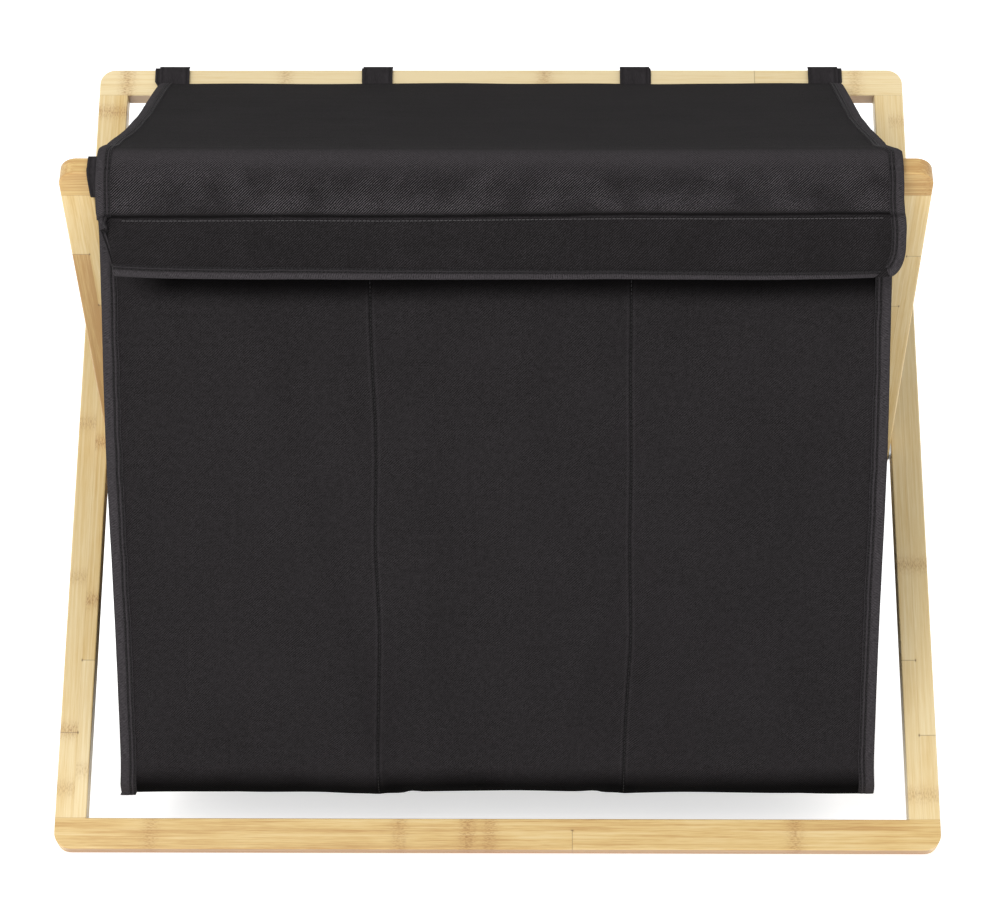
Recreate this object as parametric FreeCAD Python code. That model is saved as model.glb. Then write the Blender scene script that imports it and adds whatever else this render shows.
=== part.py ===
import FreeCAD, Part
import math
import os
from FreeCAD import Vector

# Laundry sorter: two flat bamboo frames that cross as an X, a three-compartment
# fabric bag hung between their top rails, and a fabric lid with a front flap.
# Millimetres. Origin on the floor below the pivot axis, +Z up, +X to the right of
# a person standing in front of the sorter, -Y towards that person.

# Driving dimensions of the frames
FRAME_WIDTH = 730.0         # outer frame, over its stiles
FACE = 26.0                 # face width of every bamboo member
STOCK = 16.0                # thickness of every bamboo member
LEG_LENGTH = 728.0          # frame height, measured along the leg
PIVOT_UP_LEG = 357.0        # pivot axis above the leg's lower end, along the leg
LEAN = 38.0                 # each frame's lean from upright, in degrees
FRAME_GAP = 2.0             # between an outer stile and the inner stile beside it
CORNER_RADIUS = 14.0        # outer corners of each frame
EASE = 1.2                  # eased long edges
FLOOR_BEVEL = 2.0           # height planed off the lower edge, to stand flat

# Pivots and corner joints
BOLT_RADIUS = 3.0
BORE_RADIUS = 3.05
HEAD_RADIUS = 6.0
HEAD_THICKNESS = 3.0
HEAD_POCKET_RADIUS = 6.6
HEAD_POCKET_DEPTH = 4.0
SOCKET_RADIUS = 2.0
SOCKET_DEPTH = 1.8
WASHER_RADIUS = 8.0
WASHER_THICKNESS = 1.6
NUT_THICKNESS = 3.0
NUT_RECESS = 0.6            # nut below the inner face of the stile
DOWEL_RADIUS = 3.0
DOWEL_HOLE_RADIUS = 3.02
DOWEL_LENGTH = 30.0
DOWEL_SPREAD = 6.5          # each dowel from the stile's centre line

# Fabric
CLOTH = 1.5                 # bag, lid and flap, two layers sewn together
TAPE = 1.0                  # binding tape, on the face of the cloth
TAPE_WIDTH = 10.0
BAG_HALF_WIDTH = 308.0
BAG_FRONT = -213.5
BAG_BACK = 201.5
BAG_BOTTOM = 54.0
BAG_TOP = 551.0
BACK_BEND = 559.0           # height where the back panel starts to follow the rail
DIVIDER_TOP = 545.0
DIVIDERS = (-97.0, 107.0)   # the two dividers, across the width
LOOP_WIDTH = 27.0
LOOP_GAP = 0.4              # between a loop and the rail inside it
LOOP_CENTRES = (-297.0, -112.0, 122.0, 293.0)

# Lid and flap
LID_HALF_WIDTH = 309.0
LID_WAIST = 8.0             # how far each side edge curves in at the middle
LID_HINGE = (210.5, 572.8)  # Y and Z of the line where the lid is sewn on
LID_LIFT = 0.2              # underside of the lid above that line
LID_START = 0.4             # rear edge of the lid in front of that line
LID_TAPE_MARGIN = 3.0       # bare end of the lid's edge at both ends of its tapes
LID_FOLD = (-222.0, 584.2)  # where the lid bends down over the front rail
FLAP_HINGE = (-238.0, 574.5)
FLAP_BOTTOM = 492.0
HINGE_GAP = 0.6             # top of the flap below its hinge line
FLAP_HALF_WIDTH = 307.0
FLAP_CORNER = 12.0

# Worked out from the above
HALF = STOCK / 2
LEAN_RAD = math.radians(LEAN)
PIVOT_Z = PIVOT_UP_LEG * math.cos(LEAN_RAD) + HALF * math.sin(LEAN_RAD) - FLOOR_BEVEL
LEG_TOP = LEG_LENGTH - PIVOT_UP_LEG
OUTER_HALF = FRAME_WIDTH / 2
INNER_HALF = OUTER_HALF - FACE - FRAME_GAP
X_AXIS = Vector(1, 0, 0)
FAR = 900.0                 # past the whole sorter, for cutting shapes in two


def box(low, high):
    size = [b - a for a, b in zip(low, high)]
    return Part.makeBox(size[0], size[1], size[2], Vector(*low))


def rod(radius, start, end, y=0.0, z=0.0):
    """A cylinder along X from start to end."""
    return Part.makeCylinder(radius, end - start, Vector(start, y, z), X_AXIS)


def prism(points, half_width):
    """An outline in the YZ plane, extruded to both sides of the middle."""
    corners = [Vector(-half_width, y, z) for y, z in points]
    face = Part.Face(Part.makePolygon(corners + corners[:1]))
    return face.extrude(Vector(2 * half_width, 0, 0))


def place(shape, lean):
    """Leans a shape drawn about the pivot, then lifts it to the pivot's height."""
    moved = shape.copy()
    moved.rotate(Vector(0, 0, 0), X_AXIS, lean)
    moved.translate(Vector(0, 0, PIVOT_Z))
    return moved


def save(name, shape):
    solids = shape.Solids
    body = solids[0] if len(solids) == 1 else Part.makeCompound(solids)
    body.exportStep(os.path.join("parts", name + ".step"))


def eased_frame(half_width):
    """A frame in one piece, upright, with rounded corners and eased edges."""
    ring = box((-half_width, -HALF, -PIVOT_UP_LEG), (half_width, HALF, LEG_TOP))
    upright = [e for e in ring.Edges if abs(e.BoundBox.YLength - STOCK) < 1e-6]
    ring = ring.makeFillet(CORNER_RADIUS, upright)
    window = box(
        (-half_width + FACE, -STOCK, -PIVOT_UP_LEG + FACE),
        (half_width - FACE, STOCK, LEG_TOP - FACE),
    )
    ring = ring.cut(window)
    rims = [e for e in ring.Edges if e.BoundBox.YLength < 1e-6]
    return ring.makeFillet(EASE, rims)


def corner_dowels(half_width, radius):
    """Two dowels across each joint of a frame, half in the rail, half in the stile."""
    dowels = []
    for side in (-1, 1):
        centre = side * (half_width - FACE / 2)
        for joint in (-PIVOT_UP_LEG + FACE, LEG_TOP - FACE):
            for offset in (-DOWEL_SPREAD, DOWEL_SPREAD):
                start = Vector(centre + offset, 0, joint - DOWEL_LENGTH / 2)
                dowels.append(Part.makeCylinder(radius, DOWEL_LENGTH, start))
    return Part.makeCompound(dowels)


def make_frame(name, half_width, lean, pocket_side):
    """Cuts one frame into two rails and two stiles, and saves them and the dowels.

    pocket_side is +1 where the pivot's pocket is in the stiles' outer faces, and -1
    where it is in their inner faces.
    """
    whole = eased_frame(half_width)
    whole = whole.cut(corner_dowels(half_width, DOWEL_HOLE_RADIUS))
    inside = half_width - FACE
    for side in (-1, 1):
        ends = sorted((side * (inside - 1), side * (half_width + 1)))
        whole = whole.cut(rod(BORE_RADIUS, ends[0], ends[1]))
        mouth = half_width if pocket_side > 0 else inside
        deep = mouth - pocket_side * HEAD_POCKET_DEPTH
        ends = sorted((side * (mouth + pocket_side), side * deep))
        whole = whole.cut(rod(HEAD_POCKET_RADIUS, ends[0], ends[1]))
    reach = half_width + 1
    low = -PIVOT_UP_LEG
    cuts = {
        "bottom_rail": ((-reach, -STOCK, low - 1), (reach, STOCK, low + FACE)),
        "top_rail": ((-reach, -STOCK, LEG_TOP - FACE), (reach, STOCK, LEG_TOP + 1)),
        "left_stile": ((-reach, -STOCK, low + FACE), (0, STOCK, LEG_TOP - FACE)),
        "right_stile": ((0, -STOCK, low + FACE), (reach, STOCK, LEG_TOP - FACE)),
    }
    below_floor = box((-reach, -LEG_LENGTH, -50), (reach, LEG_LENGTH, 0))
    for member, (first, last) in cuts.items():
        piece = place(whole.common(box(first, last)), lean)
        if member == "bottom_rail":
            piece = piece.cut(below_floor)
        save(name + "_" + member, piece)
    save(name + "_dowels", place(corner_dowels(half_width, DOWEL_RADIUS), lean))


def make_pivots():
    """A socket-head bolt, a spacer washer and a round nut on each side."""
    bolts = []
    washers = []
    nuts = []
    seat = OUTER_HALF - HEAD_POCKET_DEPTH
    inside = INNER_HALF - FACE
    nut_start = inside + NUT_RECESS
    for side in (-1, 1):
        def along(radius, start, end):
            first, last = sorted((side * start, side * end))
            return rod(radius, first, last, 0.0, PIVOT_Z)

        head = along(HEAD_RADIUS, seat, seat + HEAD_THICKNESS)
        socket = along(SOCKET_RADIUS, seat + HEAD_THICKNESS - SOCKET_DEPTH, OUTER_HALF)
        shank = along(BOLT_RADIUS, nut_start, seat)
        bolts.append(head.fuse(shank).cut(socket).removeSplitter())
        gap_end = OUTER_HALF - FACE
        washer = along(WASHER_RADIUS, gap_end - WASHER_THICKNESS, gap_end)
        washers.append(washer.cut(along(BORE_RADIUS, 0, OUTER_HALF)))
        nut = along(HEAD_RADIUS, nut_start, nut_start + NUT_THICKNESS)
        nuts.append(nut.cut(along(BOLT_RADIUS + 0.02, 0, OUTER_HALF)))
    save("pivot_bolts", Part.makeCompound(bolts))
    save("pivot_washers", Part.makeCompound(washers))
    save("pivot_nuts", Part.makeCompound(nuts))


def rail_loop(centre):
    """A fabric loop round a top rail, upright about the pivot."""
    inner = (HALF + LOOP_GAP, FACE / 2 + LOOP_GAP)
    outer = (inner[0] + CLOTH, inner[1] + CLOTH)
    middle = LEG_TOP - FACE / 2
    left = centre - LOOP_WIDTH / 2
    right = centre + LOOP_WIDTH / 2
    sleeve = box((left, -outer[0], middle - outer[1]), (right, outer[0], middle + outer[1]))
    hole = box((left, -inner[0], middle - inner[1]), (right, inner[0], middle + inner[1]))
    lengthwise = [e for e in sleeve.Edges if e.BoundBox.XLength > 1]
    return sleeve.makeFillet(2 * CLOTH, lengthwise).cut(hole)


def make_loops():
    for number, centre in enumerate(LOOP_CENTRES, start=1):
        loop = rail_loop(centre)
        save("back_loop_%d" % number, place(loop, -LEAN))
        save("front_loop_%d" % number, place(loop, LEAN))


def make_bag():
    inner_x = BAG_HALF_WIDTH - CLOTH
    inner_front = BAG_FRONT + CLOTH
    inner_back = BAG_BACK - CLOTH
    floor = BAG_BOTTOM + CLOTH
    save("bag_front_panel", box(
        (-BAG_HALF_WIDTH, BAG_FRONT, BAG_BOTTOM),
        (BAG_HALF_WIDTH, inner_front, BAG_TOP),
    ))
    # The back panel leans back at its top, along the face of the rear rail.
    save("bag_back_panel", prism((
        (inner_back, BAG_BOTTOM),
        (BAG_BACK, BAG_BOTTOM),
        (BAG_BACK, BACK_BEND),
        (LID_HINGE[0] + 0.5, LID_HINGE[1] - CLOTH),
        (LID_HINGE[0] + 0.5 - CLOTH * math.cos(LEAN_RAD), LID_HINGE[1] - CLOTH / 2),
        (inner_back, BACK_BEND + CLOTH / 2),
    ), BAG_HALF_WIDTH))
    for name, side in (("left", -1), ("right", 1)):
        walls = sorted((side * BAG_HALF_WIDTH, side * inner_x))
        save("bag_%s_panel" % name, box(
            (walls[0], inner_front, BAG_BOTTOM), (walls[1], inner_back, BAG_TOP)))
        tape = sorted((side * BAG_HALF_WIDTH, side * (BAG_HALF_WIDTH - TAPE_WIDTH)))
        save("bag_front_%s_binding" % name, box(
            (tape[0], BAG_FRONT - TAPE, BAG_BOTTOM), (tape[1], BAG_FRONT, BAG_TOP)))
        save("bag_back_%s_binding" % name, box(
            (tape[0], BAG_BACK, BAG_BOTTOM), (tape[1], BAG_BACK + TAPE, BAG_TOP)))
    save("bag_bottom_panel", box(
        (-inner_x, inner_front, BAG_BOTTOM), (inner_x, inner_back, floor)))
    for name, centre in zip(("left", "right"), DIVIDERS):
        save("bag_%s_divider" % name, box(
            (centre - CLOTH / 2, inner_front, floor),
            (centre + CLOTH / 2, inner_back, DIVIDER_TOP),
        ))


def lid_outline(inset, start, length):
    """The lid's plan from start to start + length, sides waisted and moved in."""
    waist = LID_HALF_WIDTH - LID_WAIST - inset
    side = LID_HALF_WIDTH - inset
    ends = []
    for x_sign in (-1, 1):
        ends.append(Part.Arc(
            Vector(x_sign * side, -start, 0),
            Vector(x_sign * waist, -start - length / 2, 0),
            Vector(x_sign * side, -start - length, 0),
        ).toShape())
    back = Part.makeLine(Vector(-side, -start, 0), Vector(side, -start, 0))
    front = Part.makeLine(Vector(-side, -start - length, 0), Vector(side, -start - length, 0))
    return Part.Face(Part.Wire(Part.__sortEdges__([back, ends[1], front, ends[0]])))


def make_lid():
    run = LID_HINGE[0] - LID_FOLD[0]
    rise = LID_FOLD[1] - LID_HINGE[1]
    slope = math.degrees(math.atan2(rise, run))
    length = math.hypot(run, rise)

    def lay(shape, height):
        """Puts a flat shape on the lid's slope, height above the sewn line."""
        moved = shape.copy()
        moved.translate(Vector(0, 0, height))
        moved.rotate(Vector(0, 0, 0), X_AXIS, -slope)
        moved.translate(Vector(0, LID_HINGE[0], LID_HINGE[1]))
        return moved

    plan = lid_outline(0, LID_START, length - LID_START)
    panel = lay(plan.extrude(Vector(0, 0, CLOTH)), LID_LIFT)
    fold_y = LID_FOLD[0]
    fold_z = LID_FOLD[1] + LID_LIFT
    lip_y = FLAP_HINGE[0] - 0.3
    lip_z = FLAP_HINGE[1] + 0.3
    lip = prism((
        (fold_y + 1, fold_z),
        (fold_y + 1, fold_z + CLOTH),
        (fold_y - 0.5, fold_z + CLOTH),
        (lip_y, lip_z + CLOTH),
        (lip_y, lip_z),
        (fold_y, fold_z),
    ), LID_HALF_WIDTH)
    save("lid_panel", panel.fuse(lip).removeSplitter())
    tape_length = length - 2 * LID_TAPE_MARGIN
    wide = lid_outline(0, LID_TAPE_MARGIN, tape_length)
    narrow = lid_outline(TAPE_WIDTH, LID_TAPE_MARGIN, tape_length)
    tapes = lay(wide.cut(narrow).extrude(Vector(0, 0, TAPE)), LID_LIFT + CLOTH)
    for name, low_x, high_x in (("left", -FAR, 0), ("right", 0, FAR)):
        half = box((low_x, -FAR, 0), (high_x, FAR, FAR))
        save("lid_%s_binding" % name, tapes.common(half))


def make_flap():
    back = FLAP_HINGE[0] + 1.0
    front = back - CLOTH
    flap = box(
        (-FLAP_HALF_WIDTH, front, FLAP_BOTTOM),
        (FLAP_HALF_WIDTH, back, FLAP_HINGE[1] - HINGE_GAP),
    )
    corners = [
        e for e in flap.Edges
        if e.BoundBox.YLength > 1 and e.BoundBox.ZMax < FLAP_BOTTOM + 1
    ]
    flap = flap.makeFillet(FLAP_CORNER, corners)
    save("flap_panel", flap)
    strip = box(
        (-FLAP_HALF_WIDTH, front, FLAP_BOTTOM),
        (FLAP_HALF_WIDTH, back, FLAP_BOTTOM + TAPE_WIDTH),
    )
    hem = flap.common(strip)
    hem.translate(Vector(0, -CLOTH, 0))
    hem = hem.common(box((-FAR, front - TAPE, 0), (FAR, front, FAR)))
    save("flap_binding", hem)


os.makedirs("parts", exist_ok=True)
make_frame("outer", OUTER_HALF, -LEAN, 1)
make_frame("inner", INNER_HALF, LEAN, -1)
make_pivots()
make_loops()
make_bag()
make_lid()
make_flap()
print("pivot axis at Z = %.2f mm" % PIVOT_Z)
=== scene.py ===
import bmesh
import bpy
import math
import numpy as np
from mathutils import Matrix, Vector, noise


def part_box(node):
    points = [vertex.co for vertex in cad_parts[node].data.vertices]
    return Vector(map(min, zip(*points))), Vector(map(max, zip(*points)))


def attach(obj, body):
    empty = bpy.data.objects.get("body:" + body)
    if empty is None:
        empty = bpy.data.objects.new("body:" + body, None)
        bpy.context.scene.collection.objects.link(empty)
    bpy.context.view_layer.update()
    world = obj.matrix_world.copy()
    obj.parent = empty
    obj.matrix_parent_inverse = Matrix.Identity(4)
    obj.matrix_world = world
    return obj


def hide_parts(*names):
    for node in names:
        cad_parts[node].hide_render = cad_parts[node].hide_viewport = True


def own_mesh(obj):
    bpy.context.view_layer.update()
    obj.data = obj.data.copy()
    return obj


# A laundry sorter: two bamboo frames that cross as an X, a black twill bag with three
# compartments hung between their top rails, and a fabric lid with a front flap.
# Metres. The origin is on the floor below the pivots, -Y is the front.

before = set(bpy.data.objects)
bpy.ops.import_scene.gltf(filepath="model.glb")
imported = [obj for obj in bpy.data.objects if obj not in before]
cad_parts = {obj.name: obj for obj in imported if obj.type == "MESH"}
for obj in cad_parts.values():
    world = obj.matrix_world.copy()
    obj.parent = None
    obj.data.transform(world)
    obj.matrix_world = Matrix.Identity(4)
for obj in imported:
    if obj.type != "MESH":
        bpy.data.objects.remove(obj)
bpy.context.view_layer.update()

scene = bpy.context.scene
MM = 0.001
LEAN = math.radians(38)                     # each frame's lean from upright
SIDES = ("left", "right")
UP = np.array([0.0, 0.0, 1.0])
RIGHT = np.array([1.0, 0.0, 0.0])


def middle(node):
    low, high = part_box(node)
    return (np.array(low) + np.array(high)) / 2


PIVOT = middle("pivot_bolts") * np.array([0, 0, 1])
OUTER_LEG = np.array([0, math.sin(LEAN), math.cos(LEAN)])
INNER_LEG = np.array([0, -math.sin(LEAN), math.cos(LEAN)])
OUTER_FACE = np.array([0, -math.cos(LEAN), math.sin(LEAN)])
INNER_FACE = np.array([0, -math.cos(LEAN), -math.sin(LEAN)])
FACE = 26 * MM                              # face width of a bamboo member
STOCK = 16 * MM


# ------ node trees

class Tree:
    """A material's node tree, with short calls for the nodes used here."""

    def __init__(self, name):
        self.material = bpy.data.materials.new(name)
        self.material.use_nodes = True
        self.nodes = self.material.node_tree.nodes
        self.links = self.material.node_tree.links
        self.surface = self.nodes["Principled BSDF"]

    def put(self, node, socket, value):
        if isinstance(value, bpy.types.NodeSocket):
            self.links.new(value, node.inputs[socket])
        elif value is not None:
            node.inputs[socket].default_value = value

    def new(self, kind, *inputs, **settings):
        """A new node with these settings and first inputs."""
        node = self.nodes.new("ShaderNode" + kind)
        for name, value in settings.items():
            setattr(node, name, value)
        for index, value in enumerate(inputs):
            self.put(node, index, value)
        return node

    def math(self, operation, a, b=None, clamp=False):
        return self.new("Math", a, b, operation=operation, use_clamp=clamp).outputs[0]

    def add(self, a, b):
        return self.math("ADD", a, b)

    def times(self, a, b):
        return self.math("MULTIPLY", a, b)

    def less(self, a, b):
        return self.math("SUBTRACT", a, b)

    def dot(self, vector, direction):
        node = self.new("VectorMath", vector, operation="DOT_PRODUCT")
        node.inputs[1].default_value = [float(x) for x in direction]
        return node.outputs["Value"]

    def join(self, x, y, z):
        return self.new("CombineXYZ", x, y, z).outputs[0]

    def split(self, vector):
        return tuple(self.new("SeparateXYZ", vector).outputs)

    def noise(self, vector, scale=1.0, detail=3.0, roughness=0.55):
        node = self.new("TexNoise", vector)
        node.inputs["Scale"].default_value = scale
        node.inputs["Detail"].default_value = detail
        node.inputs["Roughness"].default_value = roughness
        return node.outputs["Fac"]

    def chance(self, value):
        node = self.new("TexWhiteNoise", noise_dimensions="1D")
        self.put(node, "W", value)
        return node.outputs["Value"]

    def ramp(self, value, low, high, to_low=0.0, to_high=1.0):
        inputs = (value, low, high, to_low, to_high)
        return self.new("MapRange", *inputs, interpolation_type="SMOOTHSTEP").outputs[0]

    def mix(self, share, a, b, blend="MIX"):
        node = self.new("Mix", share, data_type="RGBA", blend_type=blend)
        for index, value in ((6, a), (7, b)):
            if isinstance(value, tuple):
                value = (*value, 1.0)
            self.put(node, index, value)
        return node.outputs[2]

    def bell(self, value, centre, width):
        """1 at the centre, falling to 0 about two widths away."""
        away = self.math("DIVIDE", self.less(value, centre), width)
        return self.math("EXPONENT", self.times(self.times(away, away), -1.0))

    def bump(self, height, distance, strength=1.0, normal=None):
        node = self.new("Bump")
        node.inputs["Distance"].default_value = distance
        node.inputs["Strength"].default_value = strength
        self.put(node, "Height", height)
        self.put(node, "Normal", normal)
        return node.outputs[0]

    def attribute(self, name):
        return self.new("Attribute", attribute_name=name).outputs["Fac"]

    def finish(self, colour, roughness, normal=None, **settings):
        self.put(self.surface, "Base Color", colour)
        self.put(self.surface, "Roughness", roughness)
        self.put(self.surface, "Normal", normal)
        for name, value in settings.items():
            self.surface.inputs[name.replace("_", " ")].default_value = value
        return self.material


# ------ bamboo

BAMBOO_LIGHT = (0.70, 0.572, 0.335)
BAMBOO_MID = (0.575, 0.400, 0.158)
BAMBOO_DARK = (0.400, 0.220, 0.070)
NODE_BROWN = (0.270, 0.125, 0.038)
GLUE_LINE = (0.075, 0.036, 0.014)
UNDERSIDE_SHADE_BROWN = (0.330, 0.185, 0.095)         # painted shade, on faces that turn down to the floor


def bamboo(name, along, across, face, seed, seam=0.0, joints=(), knots=(), warmth=0.0, ends=()):
    """Laminated bamboo, with straight grain along the member.

    along, across and face are the member's directions. seam is where its two strips
    meet, across. joints are (strip, place along, change in warmth below it) of the butt
    joints in the strips, and knots are (strip, place along, strength) of the speckled
    rings of the cane: strip 0 is below the seam, 1 above it, 2 is both. warmth is the
    tone of strip 0 and strip 1. ends are the glue lines at the member's own ends.
    """
    tree = Tree(name)
    spot = tree.new("TexCoord").outputs["Object"]
    l, w, d = (tree.less(tree.dot(spot, way), float(PIVOT @ way)) for way in (along, across, face))
    strip = tree.math("GREATER_THAN", w, seam)
    other = tree.less(1.0, strip)
    if not isinstance(warmth, tuple):
        warmth = (warmth, warmth + 0.06)

    piece = tree.add(tree.times(strip, 3.1), seed * 3.7)
    tone = tree.add(tree.times(strip, warmth[1]), tree.times(other, warmth[0]))
    lines = 0.0
    for which, place, change in joints:
        mine = strip if which else other
        below = tree.times(mine, tree.math("LESS_THAN", l, place))
        piece = tree.add(piece, tree.times(below, 1.37))
        tone = tree.add(tone, tree.times(below, change))
        line = tree.times(mine, tree.bell(l, place, 0.36 * MM))
        dot = tree.times(tree.bell(l, place, 1.1 * MM), tree.bell(w, seam, 0.6 * MM))
        lines = tree.math("MAXIMUM", lines, tree.math("MAXIMUM", tree.times(line, 0.5), dot))
    for place in ends:
        lines = tree.math("MAXIMUM", lines, tree.times(tree.bell(l, place, 0.3 * MM), 0.28))

    # Each strip's grain starts at its own place, so that no line runs on past a joint.
    long_way = tree.add(l, tree.times(tree.chance(piece), 3.0))

    def grain(along_it, across_it, detail=2.0):
        """Noise with its own scales along the grain and across it."""
        parts = ((long_way, along_it), (w, across_it), (d, across_it))
        return tree.noise(tree.join(*(tree.times(*part) for part in parts)), detail=detail)

    broad = grain(4.0, 95.0, 3.0)
    streak = grain(9.0, 520.0, 4.0)
    fibre = grain(60.0, 2100.0)
    patch = grain(17.0, 30.0)
    for noise_part, share in ((streak, 1.60), (broad, 1.00), (fibre, 0.95), (patch, 0.60)):
        tone = tree.add(tone, tree.times(tree.less(noise_part, 0.5), share))
    colour = tree.mix(tree.math("ADD", tone, 0.5, clamp=True), BAMBOO_LIGHT, BAMBOO_MID)
    colour = tree.mix(tree.ramp(tone, 0.34, 1.10, 0.0, 0.90), colour, BAMBOO_DARK)

    # Rings of the cane: a faintly darker band, speckled with short flecks along the grain.
    flecks = grain(330.0, 1250.0)
    rings = 0.0
    for which, place, strength in knots:
        mine = (other, strip, 1.0)[which]
        ring = tree.times(tree.bell(l, place, 6.5 * MM), mine)
        rings = tree.math("MAXIMUM", rings, tree.times(ring, strength))
    marks = tree.times(rings, tree.ramp(flecks, 0.46, 0.60))
    colour = tree.mix(tree.times(rings, 0.30), colour, BAMBOO_DARK)
    colour = tree.mix(tree.times(marks, 0.62), colour, NODE_BROWN)
    colour = tree.mix(lines, colour, GLUE_LINE)
    seam_line = tree.times(tree.bell(w, seam, 0.16 * MM), 0.35)
    colour = tree.mix(seam_line, colour, BAMBOO_DARK)
    # Painted shade: faces that turn down to the floor are painted brown, as in shadow.
    way = tree.new("NewGeometry").outputs["Normal"]
    colour = tree.mix(tree.ramp(tree.dot(way, UP), -0.68, -0.78, 0.0, 0.75), colour, UNDERSIDE_SHADE_BROWN)

    height = tree.less(tree.add(tree.times(streak, 0.5), tree.times(fibre, 0.4)), tree.times(lines, 1.5))
    height = tree.less(height, tree.times(marks, 0.5))
    normal = tree.bump(height, 0.14 * MM, 0.55)
    roughness = tree.ramp(tree.add(streak, tree.times(marks, 0.4)), 0.3, 0.9, 0.36, 0.54)
    return tree.finish(
        colour, roughness, normal, Coat_Weight=0.10, Coat_Roughness=0.28, Specular_IOR_Level=0.35)


def half_width(node):
    low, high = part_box(node)
    return (high.x - low.x) / 2


OUTER_HALF = half_width("outer_top_rail")
INNER_HALF = half_width("inner_top_rail")
OUTER_CENTRE = OUTER_HALF - FACE / 2        # middle of an outer stile, from the middle
INNER_CENTRE = INNER_HALF - FACE / 2
LEG_TOP = 371 * MM
LEG_LOW = -357 * MM
STILE_ENDS = (LEG_LOW + FACE, LEG_TOP - FACE)
RAIL_TOP = LEG_TOP - FACE / 2
RAIL_LOW = LEG_LOW + FACE / 2


def paint(node, material):
    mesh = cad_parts[node].data
    mesh.materials.clear()
    mesh.materials.append(material)
    for polygon in mesh.polygons:
        polygon.use_smooth = False


def member(node, *seed_and_seam, **details):
    """Paints a rail, with its grain to the right, or a stile, with its grain up the leg."""
    leg, face = (OUTER_LEG, OUTER_FACE) if node.startswith("outer") else (INNER_LEG, INNER_FACE)
    ways = (RIGHT, leg)
    if "stile" in node:
        ways = (leg, RIGHT)
        details["ends"] = STILE_ENDS
    paint(node, bamboo("bamboo_" + node, *ways, face, *seed_and_seam, **details))


member(
    "outer_top_rail", 1, RAIL_TOP - 2 * MM, warmth=-0.42,
    joints=((0, -0.118, 0.12), (1, 0.231, -0.1)),
    knots=((2, -0.340, 0.9), (2, -0.196, 0.6), (2, 0.040, 0.8), (2, 0.322, 0.6)))
member(
    "outer_bottom_rail", 2, RAIL_LOW + 3 * MM, warmth=0.46,
    joints=((0, 0.062, 0.08),),
    knots=((2, -0.286, 0.6), (2, -0.080, 0.7), (2, -0.024, 1.0), (2, -0.006, 0.8), (2, 0.245, 0.8)))
member(
    "outer_left_stile", 3, -OUTER_CENTRE + 2 * MM, warmth=(0.02, 0.22),
    joints=((1, -0.1945, -0.42), (0, -0.258, -0.12)),
    knots=((1, -0.141, 1.0), (0, -0.120, 0.5), (1, 0.004, 1.0), (0, 0.022, 0.6), (0, -0.256, 0.9),
           (1, -0.290, 0.45), (0, -0.306, 0.6), (2, 0.328, 0.9)))
member(
    "outer_right_stile", 4, OUTER_CENTRE - 1 * MM, warmth=(-0.10, -0.22),
    joints=((0, -0.1935, -0.08), (1, -0.259, 0.06)),
    knots=((2, -0.108, 0.7), (2, -0.310, 0.6), (1, 0.318, 0.5)))
member(
    "inner_top_rail", 5, RAIL_TOP - 1 * MM, warmth=0.74,
    joints=((1, 0.05, 0.0),), knots=((2, -0.12, 0.6), (2, 0.335, 0.7)))
member(
    "inner_bottom_rail", 6, RAIL_LOW, warmth=0.1,
    joints=((0, -0.15, 0.1), (1, 0.12, -0.1)), knots=((2, -0.2, 0.7), (2, 0.09, 0.6), (1, 0.27, 0.6)))
member(
    "inner_left_stile", 7, -INNER_CENTRE + 1 * MM, warmth=(0.30, 0.18),
    joints=((0, 0.274, 0.72), (1, 0.210, 0.85)), knots=((2, 0.05, 0.6), (2, -0.19, 0.7)))
member(
    "inner_right_stile", 8, INNER_CENTRE + 1 * MM, warmth=(0.02, 0.12),
    joints=((0, 0.209, 0.35), (1, 0.272, 0.12)), knots=((2, 0.02, 0.5), (2, -0.22, 0.6)))
dowel_wood = bamboo("dowel_wood", OUTER_LEG, RIGHT, OUTER_FACE, 9)
paint("outer_dowels", dowel_wood)
paint("inner_dowels", dowel_wood)


def zinc(name):
    """Zinc-plated steel, with turning marks round the X axis."""
    tree = Tree(name)
    spot = tree.new("TexCoord").outputs["Object"]
    x, y, z = tree.split(spot)
    z = tree.less(z, float(PIVOT[2]))
    radius = tree.math("SQRT", tree.add(tree.times(y, y), tree.times(z, z)))
    rings = tree.noise(tree.join(tree.times(radius, 2600.0), tree.times(x, 900.0), 0.0), detail=2.0)
    cloud = tree.noise(spot, 160.0)
    colour = tree.mix(cloud, (0.42, 0.43, 0.45), (0.62, 0.62, 0.60))
    roughness = tree.ramp(tree.add(rings, cloud), 0.6, 1.4, 0.22, 0.46)
    return tree.finish(colour, roughness, tree.bump(rings, 0.05 * MM, 0.5), Metallic=1.0)


for hardware in ("pivot_bolts", "pivot_washers", "pivot_nuts"):
    paint(hardware, zinc("zinc_" + hardware))


# ------ cloth

TWILL = 2.15 * MM                           # from one diagonal rib to the next, along the weft
TAPE_TWILL = 1.3 * MM                       # the same, for tapes and loops
CLOTH_DARK = (0.0068, 0.0062, 0.0062)
CLOTH_LIGHT = (0.092, 0.083, 0.090)
# the colour of painted shade, the darkest the cloth is painted
CLOTH_PAINTED_SHADE = (0.0006, 0.0005, 0.0005)
PAINTED_LIGHT_TONE = 0.325                           # tone of the cloth where painted light is full, and rib contrast of fully opened cloth
WORN_RIBS = 0.74


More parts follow.
